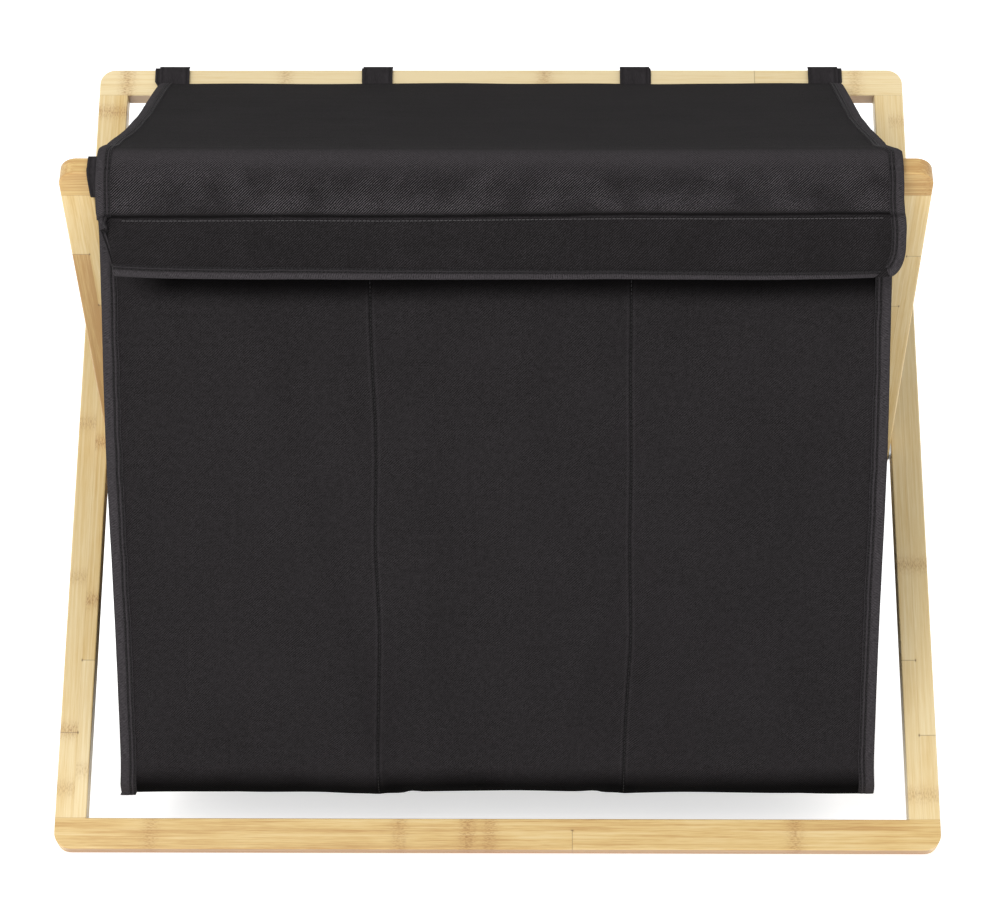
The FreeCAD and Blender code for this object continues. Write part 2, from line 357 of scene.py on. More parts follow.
def cloth(name, tone, ribs, crease=0.8, ridge=0.3, crease_width=0.9, twill=TWILL):
    """Black twill. UVs are in metres, along the weft and the warp.

    Three attributes vary it: "seam" is the distance to a sewn line, "open" is how far the
    ribs are opened by stretching, from 0 to 1, and the third is painted light and shade:
    from 0 to 1 it paints the cloth lighter, as where light falls on it, and below 0 it
    paints it dark, as in shade. crease is how much painted shade darkens a sewn line, and
    ridge is how much a painted highlight lightens the cloth beside it.
    """
    tree = Tree(name)
    flat = tree.new("UVMap", uv_map="cloth").outputs[0]
    u, v, _ = tree.split(flat)
    seam, lift, open_ribs = (tree.attribute(key) for key in ("seam", "lift", "open"))
    turn = 2 * math.pi / twill
    wave = tree.times(tree.noise(flat, 150.0, 3.0), 5.0)
    rib = tree.math("SINE", tree.add(tree.times(tree.less(u, tree.times(v, 1.05)), turn), wave))
    weft = tree.math("SINE", tree.times(v, turn * 2.0))
    warp = tree.math("SINE", tree.times(u, turn * 2.0))
    weave = tree.add(tree.times(rib, 0.8), tree.times(tree.times(weft, warp), 0.4))
    yarn = tree.less(tree.noise(flat, 850.0, 2.0, 0.7), 0.5)
    uneven = tree.less(tree.noise(flat, 210.0, 4.0, 0.65), 0.5)
    cloud = tree.less(tree.noise(flat, 11.0, 4.0, 0.6), 0.5)

    patchy = tree.ramp(tree.noise(flat, 34.0, 3.0), 0.30, 0.70, 0.50, 1.30)
    contrast = tree.times(tree.add(tree.times(open_ribs, WORN_RIBS - ribs), ribs), patchy)
    # Painted light: above 0 the attribute paints the cloth lighter, towards the tone of full painted light.
    painted_highlight = tree.math("MAXIMUM", lift, 0.0)
    level = tree.add(tree.times(painted_highlight, PAINTED_LIGHT_TONE - tone), tone)
    yarn_contrast = tree.add(tree.times(contrast, 2.6), 0.16)
    for part, share in ((weave, contrast), (yarn, yarn_contrast), (uneven, 0.18), (cloud, 0.07)):
        level = tree.add(level, tree.times(part, share))
    # Painted shade darkens the crease of a sewn line, and a painted highlight lightens the ridge beside it.
    valley = tree.bell(seam, 0.0, crease_width * MM)
    beside = tree.bell(seam, 2.6 * MM, 0.9 * MM)
    level = tree.add(level, tree.times(beside, ridge))
    colour = tree.mix(tree.math("ADD", level, 0.0, clamp=True), CLOTH_DARK, CLOTH_LIGHT)
    colour = tree.mix(tree.times(valley, crease), colour, tuple(x * 0.4 for x in CLOTH_DARK))
    # Painted shade: below 0 the attribute paints the cloth dark.
    colour = tree.mix(tree.math("MAXIMUM", tree.times(lift, -1.0), 0.0), colour, CLOTH_PAINTED_SHADE)

    pull = tree.noise(tree.join(tree.times(u, 130.0), tree.times(v, 130.0), 0.0), detail=2.0)
    sewn = tree.add(tree.times(valley, -1.0), tree.times(tree.times(beside, pull), 0.6))
    coarse = tree.bump(tree.add(sewn, tree.times(cloud, 0.6)), 1.1 * MM, 0.6)
    depth = tree.add(tree.times(open_ribs, 0.5), 0.5)
    fine = tree.times(tree.add(weave, tree.times(yarn, 3.0)), depth)
    normal = tree.bump(fine, 0.25 * MM, 1.0, coarse)
    roughness = tree.ramp(uneven, -0.3, 0.3, 0.80, 0.96)
    return tree.finish(
        colour, roughness, normal, Sheen_Weight=0.012, Sheen_Roughness=0.5, Specular_IOR_Level=0.012)


BAG_CLOTH = cloth("twill_bag", 0.124, 0.10, crease=0.65, ridge=0.05)
COVER_CLOTH = cloth("twill_cover", 0.080, 0.045, crease=0.72, ridge=0.10, crease_width=2.1)
TAPE_CLOTH = cloth("twill_tape", 0.36, 0.30, crease=0.80, ridge=0.0, crease_width=0.75, twill=TAPE_TWILL)
LOOP_CLOTH = cloth("twill_loop", 0.24, 0.05, crease=0.3, ridge=0.05, twill=TAPE_TWILL)


def thread(name, dark, light):
    tree = Tree(name)
    spot = tree.new("TexCoord").outputs["Object"]
    twist = tree.noise(spot, 2400.0, 2.0)
    colour = tree.mix(twist, dark, light)
    normal = tree.bump(twist, 0.1 * MM, 0.8)
    return tree.finish(colour, 0.6, normal, Sheen_Weight=0.05, Specular_IOR_Level=0.2)


THREAD = thread("thread", (0.002, 0.002, 0.002), (0.016, 0.014, 0.015))
# A lighter copy of the thread: a painted highlight, for the flap's seam where it catches the light.
THREAD_PAINTED_HIGHLIGHT = thread("thread_painted_highlight", (0.018, 0.016, 0.017), (0.088, 0.082, 0.085))


# ------ meshes

def wobble(x, y, z, scale, seed=0.0):
    """Smooth noise about zero, from -1 to 1."""
    return noise.noise(Vector((x * scale + seed, y * scale - seed * 0.7, z * scale + seed * 1.3)))


def smoothstep(value):
    value = min(1.0, max(0.0, value))
    return value * value * (3 - 2 * value)


def bell(value, centre, width):
    return math.exp(-((value - centre) / width) ** 2)


def unit(vectors):
    return vectors / np.maximum(np.linalg.norm(vectors, axis=-1, keepdims=True), 1e-12)


def lengths(line):
    """Distance travelled along a line of points."""
    return np.concatenate([[0.0], np.cumsum(np.linalg.norm(np.diff(line, axis=0), axis=1))])


def refine_rows(points, times):
    """More rows, on smooth curves through the ones there are."""
    padded = np.concatenate([2 * points[:1] - points[1:2], points, 2 * points[-1:] - points[-2:-1]])
    made = []
    for i in range(len(points) - 1):
        a, b, c, d = padded[i : i + 4]
        for step in range(times):
            t = step / times
            made.append(0.5 * (2 * b + (c - a) * t + (2 * a - 5 * b + 4 * c - d) * t * t
                               + (3 * b - a - 3 * c + d) * t ** 3))
    made.append(points[-1])
    return np.array(made)


def refine(grid, times=2):
    return refine_rows(refine_rows(grid, times).swapaxes(0, 1), times).swapaxes(0, 1)


def spread(line, count):
    """The given number of evenly spaced points on a line of points."""
    along = lengths(line)
    places = np.linspace(0, along[-1], count)
    return np.stack([np.interp(places, along, line[:, k]) for k in range(line.shape[1])], 1)


def normals_of(grid):
    """Unit normals of a grid, from its rows and columns."""
    return unit(np.cross(np.gradient(grid, axis=0), np.gradient(grid, axis=1)))


def new_object(name, data):
    thing = bpy.data.objects.new(name, data)
    scene.collection.objects.link(thing)
    return thing


def new_piece(name, vertices, faces, uvs, material, **attributes):
    """A smooth mesh object with UVs in metres, given per vertex, and float attributes."""
    mesh = bpy.data.meshes.new(name)
    mesh.from_pydata([tuple(map(float, p)) for p in vertices], [], faces)
    layer = mesh.uv_layers.new(name="cloth")
    corners = np.empty(len(mesh.loops), int)
    mesh.loops.foreach_get("vertex_index", corners)
    layer.data.foreach_set("uv", np.asarray(uvs, np.float32)[corners].ravel())
    for key, usual in (("seam", 1.0), ("lift", 0.0), ("open", 0.0)):
        values = attributes.get(key, np.full(len(vertices), usual))
        mesh.attributes.new(key, "FLOAT", "POINT").data.foreach_set("value", np.float32(np.ravel(values)))
    mesh.materials.append(material)
    mesh.polygons.foreach_set("use_smooth", np.ones(len(mesh.polygons), bool))
    return new_object(name, mesh)


def grid_faces(rows, columns, closed=False):
    faces = []
    for i in range(rows - 1):
        for j in range(columns - (0 if closed else 1)):
            k = (j + 1) % columns
            faces.append((i * columns + j, (i + 1) * columns + j, (i + 1) * columns + k, i * columns + k))
    return faces


def tube_faces(rows, columns):
    """The faces of a closed tube and of its two ends."""
    last = (rows - 1) * columns
    ends = [tuple(range(columns)), tuple(range(last, last + columns))]
    return grid_faces(rows, columns, closed=True) + ends


def sheet_piece(name, points, uvs, thickness, material, flip=False, **attributes):
    """A grid of points, rows by columns, thickened to both sides of its surface."""
    rows, columns = points.shape[:2]
    faces = grid_faces(rows, columns)
    if flip:
        faces = [face[::-1] for face in faces]
    piece = new_piece(name, points.reshape(-1, 3), faces, uvs.reshape(-1, 2), material, **attributes)
    corners = np.empty(len(piece.data.loops), int)
    piece.data.loops.foreach_get("edge_index", corners)
    on_rim = np.bincount(corners, minlength=len(piece.data.edges)) == 1
    piece.data.edges.foreach_set("use_edge_sharp", on_rim)
    solid = piece.modifiers.new("thickness", "SOLIDIFY")
    solid.thickness = thickness
    solid.offset = 0.0
    return piece


def closed_piece(*parts, **attributes):
    """A new piece of tape or thread, with the faces of its closed mesh turned outward."""
    piece = new_piece(*parts, **attributes)
    edit = bmesh.new()
    edit.from_mesh(piece.data)
    bmesh.ops.recalc_face_normals(edit, faces=edit.faces)
    edit.to_mesh(piece.data)
    edit.free()
    return piece


# Half a binding tape's section: how far in from the edge, and how high off the cloth.
TAPE_SECTION = (
    (10.8, 0.7), (10.5, 1.25), (9.5, 1.15), (8.1, 1.45), (6.6, 1.2), (4.4, 1.65), (0.6, 1.5), (-0.8, 0.7))
TAPE_STITCHES = ((9.5, 1.2), (6.6, 1.25))    # the same, for its two rows of stitches


def tape_piece(name, edge, inward, outward, seed, start=0.0, wide=1.0):
    """Binding tape folded over an edge. inward runs from the edge into the cloth."""
    half = [(a * wide * MM, b * MM) for a, b in TAPE_SECTION]
    section = half + [(a, -b) for a, b in reversed(half)]
    along = start + lengths(edge)
    vertices = []
    uvs = []
    rows = [min(abs(a - inset * wide * MM) for inset, _ in TAPE_STITCHES) for a, _ in section]
    for i, place in enumerate(edge):
        pucker = 1 + 0.20 * wobble(along[i], 0, 0, 95.0, seed)
        pucker += 0.14 * wobble(along[i], 0, 0, 260.0, seed + 5)
        width = 1 + 0.05 * wobble(along[i], 1.0, 0, 60.0, seed + 9)
        for j, (a, b) in enumerate(section):
            vertices.append(place + inward[i] * a * width + outward[i] * b * pucker)
            uvs.append((along[i], j * 1.6 * MM))
    faces = tube_faces(len(edge), len(section))
    return closed_piece(name, vertices, faces, uvs, TAPE_CLOTH, seam=np.tile(rows, len(edge)))


STITCH = 3.3 * MM                           # from one stitch to the next
THREAD_RADIUS = 0.38 * MM
THREAD_SIDES = 5
STITCH_ARC = ((0.0, -0.5), (0.12, 0.1), (0.5, 0.45), (0.88, 0.1), (1.0, -0.5))


def stitch_piece(name, path, outward, seed=0.0, material=THREAD):
    """A row of short thread stitches, each a little tube that dips into the cloth."""
    along = lengths(path)
    vertices = []
    faces = []
    uvs = []

    def at(values, place):
        return np.array([np.interp(place, along, values[:, k]) for k in range(3)])

    for n in range(int(along[-1] / STITCH)):
        base = len(vertices)
        for share, rise in STITCH_ARC:
            place = (n + share * 0.8) * STITCH
            off = unit(at(outward, place))
            forward = unit(at(path, place + 0.5 * MM) - at(path, place - 0.5 * MM))
            side = np.cross(forward, off)
            slip = wobble(place, 0, 0, 300.0, seed) * 0.15 * MM
            centre = at(path, place) + off * rise * 0.6 * MM + side * slip
            for k in range(THREAD_SIDES):
                angle = 2 * math.pi * k / THREAD_SIDES
                vertices.append(centre + (side * math.cos(angle) + off * math.sin(angle)) * THREAD_RADIUS)
                uvs.append((place, k * THREAD_RADIUS))
        tube = tube_faces(len(STITCH_ARC), THREAD_SIDES)
        faces += [tuple(base + k for k in face) for face in tube]
    return closed_piece(name, vertices, faces, uvs, material)


def bound_edge(name, edge, inward, outward, seed, start=0.0, wide=1.0):
    """A binding tape and its two rows of stitches."""
    made = [tape_piece(name + "_tape", edge, inward, outward, seed, start, wide)]
    for row, (inset, height) in enumerate(TAPE_STITCHES):
        path = edge + inward * inset * wide * MM + outward * height * MM
        made.append(stitch_piece("%s_stitches_%d" % (name, row + 1), path, outward, seed + row))
    return made


def hang(pieces, body, *nodes):
    """Fixes cloth to a body, to gather when the frames fold. The first piece replaces the nodes."""
    if nodes:
        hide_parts(*nodes)
    for piece in pieces:
        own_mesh(piece)
        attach(piece, body)


# ------ bag

bag_low, bag_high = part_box("bag_front_panel")
BAG_HALF = bag_high.x - 0.6 * MM
BAG_FRONT = bag_low.y + 0.75 * MM
BAG_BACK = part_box("bag_bottom_panel")[1].y + 0.75 * MM
SAG = 6.2 * MM                              # how far the hung cloth reaches below its flat pattern
BAG_LOW = bag_low.z - SAG
BAG_TOP = bag_high.z
DIVIDERS = [float(middle("bag_%s_divider" % side)[0]) for side in SIDES]
DIVIDER_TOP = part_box("bag_left_divider")[1].z
CELL = 9 * MM
STILE_INSIDE = INNER_HALF - FACE            # the bag's sides stay between the inner stiles
SIDE_LIMIT = STILE_INSIDE - 2.4 * MM


def stops(*corners):
    """Evenly spaced places from corner to corner, about a cell apart."""
    places = [corners[0]]
    for a, b in zip(corners, corners[1:]):
        count = max(1, round((b - a) / CELL))
        places += [a + (b - a) * k / count for k in range(1, count + 1)]
    return np.array(places)


ACROSS = stops(-BAG_HALF, DIVIDERS[0], DIVIDERS[1], BAG_HALF)
DEEP = stops(BAG_FRONT, BAG_BACK)
TALL = stops(BAG_LOW, BAG_TOP)


def flat_panels():
    """Each panel's grid of points before it hangs, and the places of its rows and columns."""
    def panel(point, rows, columns):
        return np.array([[point(a, b) for b in columns] for a in rows]), rows, columns

    flat = {
        "front": panel(lambda x, z: (x, BAG_FRONT, z), ACROSS, TALL),
        "back": panel(lambda x, z: (x, BAG_BACK, z), ACROSS, TALL),
        "left": panel(lambda y, z: (-BAG_HALF, y, z), DEEP, TALL),
        "right": panel(lambda y, z: (BAG_HALF, y, z), DEEP, TALL),
        "bottom": panel(lambda x, y: (x, y, BAG_LOW), ACROSS, DEEP),
    }
    for side, x in zip(SIDES, DIVIDERS):
        flat["divider_" + side] = panel(lambda y, z: (x, y, z), DEEP, TALL)
    return flat


def sewn_together(flat):
    """One mesh with shared points along the seams, and each panel's place in it."""
    index = {}
    vertices = []
    places = {}
    faces = []
    for name, (points, _, _) in flat.items():
        where = np.empty(points.shape[:2], int)
        for i, j in np.ndindex(*where.shape):
            key = tuple(np.round(points[i, j] / (0.02 * MM)).astype(int))
            if key not in index:
                index[key] = len(vertices)
                vertices.append(points[i, j])
            where[i, j] = index[key]
        places[name] = where
        flat_index = where.ravel()
        faces += [tuple(int(flat_index[k]) for k in face) for face in grid_faces(*where.shape)]
    return np.array(vertices), faces, places


def simulate(points, faces, pinned, frames):
    """The points after hanging under gravity from the pinned ones."""
    mesh = bpy.data.meshes.new("bag_simulation")
    mesh.from_pydata([tuple(map(float, p)) for p in points], [], faces)
    body = new_object("bag_simulation", mesh)
    pins = body.vertex_groups.new(name="pins")
    pins.add([int(i) for i in np.flatnonzero(pinned)], 1.0, "REPLACE")
    modifier = body.modifiers.new("cloth", "CLOTH")
    setup = modifier.settings
    setup.quality = 6
    setup.mass = 0.12
    setup.tension_stiffness = 60
    setup.compression_stiffness = 60
    setup.shear_stiffness = 25
    setup.bending_stiffness = 1.2
    setup.air_damping = 6
    setup.vertex_group_mass = "pins"
    setup.shrink_min = -0.006
    modifier.collision_settings.use_collision = False
    modifier.collision_settings.use_self_collision = False
    modifier.point_cache.frame_start = 1
    modifier.point_cache.frame_end = frames
    for number in range(1, frames + 1):
        scene.frame_set(number)
    shown = body.evaluated_get(bpy.context.evaluated_depsgraph_get())
    moved = np.array([v.co for v in shown.data.vertices])
    bpy.data.objects.remove(body)
    scene.frame_set(1)
    return moved


BELLY_HEIGHT = 0.345                        # where the front's edges stand out most
SEAM_WANDER = 3.2 * MM                      # of the divider seams, sideways
FOOT_TURN = 28 * MM                         # height over which the foot turns under
FOOT_DEPTH = 11 * MM                        # and how far it goes under


def sewn_look(point, start):
    """Moves a point of the hung bag as the sewing does: puckers, pulls and turned edges."""
    x0, y0, z0 = start
    x, y, z = point
    front = smoothstep((BAG_FRONT + 22 * MM - y0) / (22 * MM))
    back = smoothstep((y0 - BAG_BACK + 22 * MM) / (22 * MM))
    edge = (abs(x0) / BAG_HALF) ** 12
    flare = 0.5 + 2.2 * bell(z0, BELLY_HEIGHT, 0.12) + 1.8 * bell(z0, BAG_LOW, 0.020)
    x += math.copysign(edge * front, x0) * flare * MM
    for k, seam in enumerate(DIVIDERS):
        near = bell(x0, seam, 13 * MM)
        x += bell(x0, seam, 60 * MM) * SEAM_WANDER * wobble(0, 0, z0, 8.0, 3.0 + k * 9) * (front + back)
        low = 0.5 + 0.8 * bell(z0, BAG_LOW, 0.09)
        pull = near * (0.9 * MM + low * 1.8 * MM * wobble(0, 0, z0, 42.0, 11.0 + k * 5))
        pull += bell(x0, seam, 34 * MM) * low * 1.6 * MM * wobble(x0, 0, z0, 26.0, 17.0 + k)
        y += pull * (front - back)
    ripple = bell(abs(x0), BAG_HALF, 20 * MM) * 1.1 * MM * wobble(x0 * 0.3, 0, z0, 34.0, 23.0)
    ripple += bell(z0, BAG_LOW, 16 * MM) * 1.3 * MM * wobble(x0, 0, z0, 21.0, 31.0)
    ripple += 1.2 * MM * wobble(x0, 0, z0, 5.5, 41.0) + 0.45 * MM * wobble(x0, 0, z0, 15.0, 43.0)
    y += ripple * (front - back)
    z += bell(z0, BAG_LOW, 10 * MM) * (1.2 * MM * wobble(x0, y0, 0, 9.0, 47.0) + 1.9 * MM * bell(x0, 0, 0.16))
    # The foot of the front and back turns under, in a soft curve.
    below = max(0.0, FOOT_TURN - (z0 - BAG_LOW)) / FOOT_TURN
    under = 1 - math.sqrt(max(0.0, 1 - min(0.995, below) ** 2))
    y += FOOT_DEPTH * under * (math.exp(-(y0 - BAG_FRONT) / 0.05) - math.exp(-(BAG_BACK - y0) / 0.05))
    limit = SIDE_LIMIT + 1.6 * MM * front
    return min(limit, max(-limit, x)), y, z


UNEVEN = 2.0                                # in mm, of the bag before it hangs
HANG_FRAMES = 40
FREE_MOVE = (12.0, 12.0, 3.0)               # most that the cloth moves in hanging, in mm
BOUND_MOVE = (1.0, 4.5, 1.0)                # the same, on the front and back


def hung_bag():
    """Every panel's points after the bag has hung from its front and back edges."""
    flat = flat_panels()
    start, faces, places = sewn_together(flat)
    on_front = np.abs(start[:, 1] - BAG_FRONT) < 1e-6
    on_back = np.abs(start[:, 1] - BAG_BACK) < 1e-6
    rim = (np.abs(start[:, 2] - BAG_TOP) < 1e-6) & (on_front | on_back)
    settled = start.copy()
    # A little unevenness, so that the spare cloth buckles softly instead of in a grid.
    uneven = np.array([[wobble(*p, 9.0, seed) for seed in (1.0, 4.0, 8.0)] for p in start]) * UNEVEN * MM
    uneven[rim] = 0.0
    away = simulate(start + uneven, faces, rim, HANG_FRAMES) - start
    # The bound front and back are stiff, and the bottom is held up by its seams.
    most = np.tile(np.array(FREE_MOVE) * MM, (len(start), 1))
    most[on_front | on_back] = np.array(BOUND_MOVE) * MM
    settled = start + most * np.tanh(away / most)
    settled = np.array([sewn_look(point, place) for point, place in zip(settled, start)])
    settled[rim] = start[rim]
    return {name: (settled[places[name]], flat[name][1], flat[name][2]) for name in flat}


BAG = hung_bag()


def nearest(values, places):
    return np.min([np.abs(values - place) for place in places], axis=0)


FOOT_HEIGHT = 25.5 * MM                     # of the painted shade at the foot of the front and back
FOOT_FULL = 7 * MM                          # of the part of it that is painted fully dark
FOOT_SHADE = 0.98
HEM_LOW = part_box("flap_panel")[0].z - 8.5 * MM    # the front is painted fully dark down to here, as the shadow under the flap
HEM_FADE = 22 * MM
HEM_SHADE = 0.88


def painted_shade(x, z, key):
    """Painted shade on the front or back: at its foot, where the cloth turns under, and on the front's top,
    as the shadow of the flap.
    """
    height = z - BAG_LOW + 2.5 * MM * wobble(x, 0, 0, 14.0, 51.0) + 1.5 * MM * wobble(x, 0, z, 40.0, 53.0)
    foot = min(1.0, max(0.0, (FOOT_HEIGHT - height) / (FOOT_HEIGHT - FOOT_FULL)))
    if key == "back":
        return -FOOT_SHADE * foot
    below = HEM_LOW - z + 2.0 * MM * wobble(x, 0, 0, 12.0, 55.0)
    hem = (1 - smoothstep(below / HEM_FADE)) * smoothstep((x + 292 * MM) / (40 * MM))
    return -max(FOOT_SHADE * foot, HEM_SHADE * hem)


TOP_HEM = 9 * MM                            # from the bag's top edge to its hem stitching


def bag_panel(name, key, flip=False, seams=(), top=None):
    """One panel of the hung bag, as a thin sheet, with its fine grid and its flat size."""
    points, rows, columns = BAG[key]
    if top is not None:
        count = int(np.searchsorted(columns, top)) + 1
        points = points[:, :count]
        columns = columns[:count]
    fine = refine(points)
    first = refine_rows(rows, 2)
    second = refine_rows(columns, 2)
    uvs = np.stack(np.meshgrid(first, second, indexing="ij"), -1)
    seam = nearest(uvs[:, :, 0], seams) if len(seams) else np.ones(uvs.shape[:2])
    seam = np.minimum(seam, np.abs(second[-1] - TOP_HEM - uvs[:, :, 1]))
    lift = np.zeros(seam.shape)
    # Painted shade at the foot of the front and back, and under the flap on the front.
    if key in ("front", "back"):
        lift = np.array([[painted_shade(x, z, key) for z in second] for x in first])
    piece = sheet_piece(name, fine, uvs, 1.1 * MM, BAG_CLOTH, flip, seam=seam, lift=lift)
    return piece, fine, (float(np.ptp(first)), float(np.ptp(second)))


BAG_TAPE_WIDTH = 1.12                       # of the bag's tapes, as a share of the lid's
HEM_TAPE_WIDTH = 0.84


def panel_edge(side, word, grid, out):
    """The binding on one upright edge of the front or back panel."""
    columns = (0, 2, 3) if side == "left" else (-1, -3, -4)
    outer, inner, next_in = (refine_rows(grid[k], 2) for k in columns)
    inward = unit((inner + next_in) / 2 - outer)
    front_way = np.array([0.0, out, 0.0])
    outward = unit(front_way - inward * (inward @ front_way)[:, None])
    edge = outer - inward * 0.9 * MM + outward * 0.35 * MM
    if (word, side) == ("front", "left"):
        # The tape's end pokes out below the bag's corner.
        tail = edge[0] + np.array([[-1.0, -0.4, -2.4], [-0.4, -0.2, -1.1]]) * MM
        edge = np.concatenate([tail, edge])
        inward = np.concatenate([inward[:1], inward[:1], inward])
        outward = np.concatenate([outward[:1], outward[:1], outward])
    name = "bag_%s_%s_edge" % (word, side)
    return bound_edge(name, edge, inward, outward, 3.0 * columns[0] + out, wide=BAG_TAPE_WIDTH)


def make_bag():
    for word, out in (("front", -1.0), ("back", 1.0)):
        piece, grid, size = bag_panel("bag_" + word, word, out > 0, DIVIDERS)
        on_it = []
        for side in SIDES:
            made = panel_edge(side, word, grid, out)
            hang(made, "outer_frame", "bag_%s_%s_binding" % (word, side))
            on_it += made
        places = refine_rows(ACROSS, 2)
        for side, x in zip(SIDES, DIVIDERS):
            outward = np.tile(np.array([0.0, out, 0.0]), (grid.shape[1], 1))
            path = grid[int(np.argmin(np.abs(places - x)))] + outward * 0.45 * MM
            made = [stitch_piece("bag_%s_divider_%s_stitches" % (word, side), path, outward, x)]
            hang(made, "outer_frame")
            on_it += made
        hang([piece], "outer_frame", "bag_%s_panel" % word)
    for node, *details in (
        ("bag_left_panel", "bag_left_side", "left", True),
        ("bag_right_panel", "bag_right_side", "right"),
        ("bag_bottom_panel", "bag_bottom", "bottom", True, DIVIDERS),
        ("bag_left_divider", "bag_divider_left", "divider_left", False, (), DIVIDER_TOP),
        ("bag_right_divider", "bag_divider_right", "divider_right", False, (), DIVIDER_TOP),
    ):
        piece, _, size = bag_panel(*details)
        hang([piece], "outer_frame", node)


make_bag()


# ------ lid and flap

# The lid and its flap are one strip of cloth: this is its section, as (Y, Z), from the
# back rail over the front rail, where the flap starts, down to the hem.
FLAP_FOLD = (-0.2380, 0.5745)               # where the lid ends and the flap begins
LID_SECTION = (
    (0.2090, 0.5702), (0.1850, 0.5722), (0.1000, 0.5735), (0.0000, 0.5745),
    (-0.1000, 0.5768), (-0.1600, 0.5802), (-0.1950, 0.5846), (-0.2120, 0.5868),
    (-0.2235, 0.5861), (-0.2325, 0.5808), FLAP_FOLD,
)
SEAM_Z = 0.5390                             # sewn line across the flap, where its facing ends
FLAP_SECTION = (
    (-0.2428, 0.5660), (-0.2455, 0.5560), (-0.2468, 0.5480), (-0.2464, 0.5435),
    (-0.2440, 0.5408), (-0.2436, SEAM_Z), (-0.2450, 0.5365), (-0.2448, 0.5320),
    (-0.2436, 0.5180), (-0.2442, 0.5010), (-0.2452, 0.4912),
)
COVER_THICKNESS = 1.4 * MM
LID_ROWS = 96
FLAP_ROWS = 64
# Columns are closer together at the left, where the flap's edge is tucked under.
COLUMNS = np.concatenate([np.linspace(0, 0.05, 24), np.linspace(0.05, 1, 150)[1:]])
TUCK_RADIUS = 1.7 * MM
TUCK_TURN = math.radians(165)
SEAM_RISE = 2.2 * MM
CORNER_HEIGHT = 24 * MM                     # the flap's rounded right corner
CORNER_INSET = 12.5 * MM


def cover_section():
    fine = refine_rows(np.array(LID_SECTION + FLAP_SECTION, float), 12)
    split = 12 * (len(LID_SECTION) - 1)
    return np.concatenate([spread(fine[: split + 1], LID_ROWS), spread(fine[split:], FLAP_ROWS)[1:]])


SECTION = cover_section()
DOWN = lengths(SECTION)                     # how far each row is from the back edge
HINGE_ROW = LID_ROWS - 1
HINGE_DOWN = DOWN[HINGE_ROW]
SEAM_DOWN = DOWN[HINGE_ROW + int(np.argmin(np.abs(SECTION[HINGE_ROW:, 1] - SEAM_Z)))]
HEM_DOWN = DOWN[-1]
WAIST_LEFT = 304.6                          # the lid's half widths at its waist, in mm
WAIST_RIGHT = 304.8


def cover_sides(y, down):
    """X of the left and right edges. The lid is waisted, and lies a little skew."""
    def ahead(start, over):
        """Rises from 0 to 1 as y goes forward from the start."""
        return smoothstep((-start - y) / over)

    back = min(1.0, max(0.0, y / 0.21))
    left = -WAIST_LEFT - 3.9 * back - 3.4 * ahead(0.055, 0.080) + 2.6 * ahead(0.135, 0.060)
    right = WAIST_RIGHT + 3.7 * back + 2.6 * ahead(0.020, 0.120) - 1.4 * ahead(0.140, 0.040)
    # On the right the cloth steps out over the rail, and widens again down the flap.
    right += 5.5 * ahead(0.210, 0.014) + 3.0 * smoothstep((down - HINGE_DOWN - 0.022) / 0.030)
    corner = max(0.0, down - (HEM_DOWN - CORNER_HEIGHT)) / CORNER_HEIGHT
    rounded = 1 - math.sqrt(max(0.0, 1 - min(0.995, corner) ** 2))
    return left * MM, right * MM - CORNER_INSET * rounded


def lid_point(x, y, z, share, c):
    slack = math.sin(math.pi * share)
    drop = -3.0 * MM * slack * (1 - c * c)
    ripple = slack * (1.8 * MM * wobble(x, y, 0.3, 7.0, 2.0) + 0.6 * MM * wobble(x, y, 0.3, 24.0, 6.0))
    curl = c ** 8 * slack * 0.7 * MM * wobble(0, y, c, 14.0, 3.0)
    back = (1 - share) ** 7 * 1.6 * MM * wobble(x, 0, 0, 10.0, 7.0)
    return x, y, z + drop + ripple + curl + back


def flap_point(x, y, z, left, down, c):
    away = smoothstep((down - HINGE_DOWN) / (14 * MM))
    below = max(0.0, down - SEAM_DOWN) / (HEM_DOWN - SEAM_DOWN)
    y += away * (0.8 * MM * wobble(x, 0, z, 10.0, 5.0) + 0.4 * MM * wobble(x, 0, z, 34.0, 8.0))
    y += below * 1.2 * MM * wobble(x, 0, 0, 22.0, 12.0)
    z += away * 0.7 * MM * wobble(x, 0, 0, 8.0, 3.0)
    # The seam was not sewn level: it rises to the right.
    z += away * SEAM_RISE * smoothstep((x + 120 * MM) / (320 * MM)) * bell(z, SEAM_Z, 22 * MM)
    z += below * (4.0 * MM * max(0.0, -c) ** 7 + 2.0 * MM * max(0.0, c) ** 7)
    # Below the seam the left edge is tucked under, out of sight.
    since = max(0.0, down - SEAM_DOWN)
    turn_at = left + 7.5 * MM * smoothstep(since / (6 * MM)) + 6.0 * MM * below
    turned = TUCK_TURN * smoothstep(since / (6 * MM))
    inside = turn_at - x
    if inside > 0 and turned > 0:
        angle = min(inside / TUCK_RADIUS, turned)
        rest = max(0.0, inside - TUCK_RADIUS * turned)
        x = turn_at - TUCK_RADIUS * math.sin(angle) - rest * math.cos(turned)
        y += TUCK_RADIUS * (1 - math.cos(angle)) + rest * math.sin(turned)
    return x, y, z


def cover_grid():
    points = np.empty((len(SECTION), len(COLUMNS), 3))
    uvs = np.empty((len(SECTION), len(COLUMNS), 2))
    for i, (y, z) in enumerate(SECTION):
        left, right = cover_sides(y, DOWN[i])
        for j, share in enumerate(COLUMNS):
            x = left + (right - left) * share
            if i <= HINGE_ROW:
                points[i, j] = lid_point(x, y, z, DOWN[i] / HINGE_DOWN, 2 * share - 1)
            else:
                points[i, j] = flap_point(x, y, z, left, DOWN[i], 2 * share - 1)
            uvs[i, j] = (x, -DOWN[i])
    return points, uvs


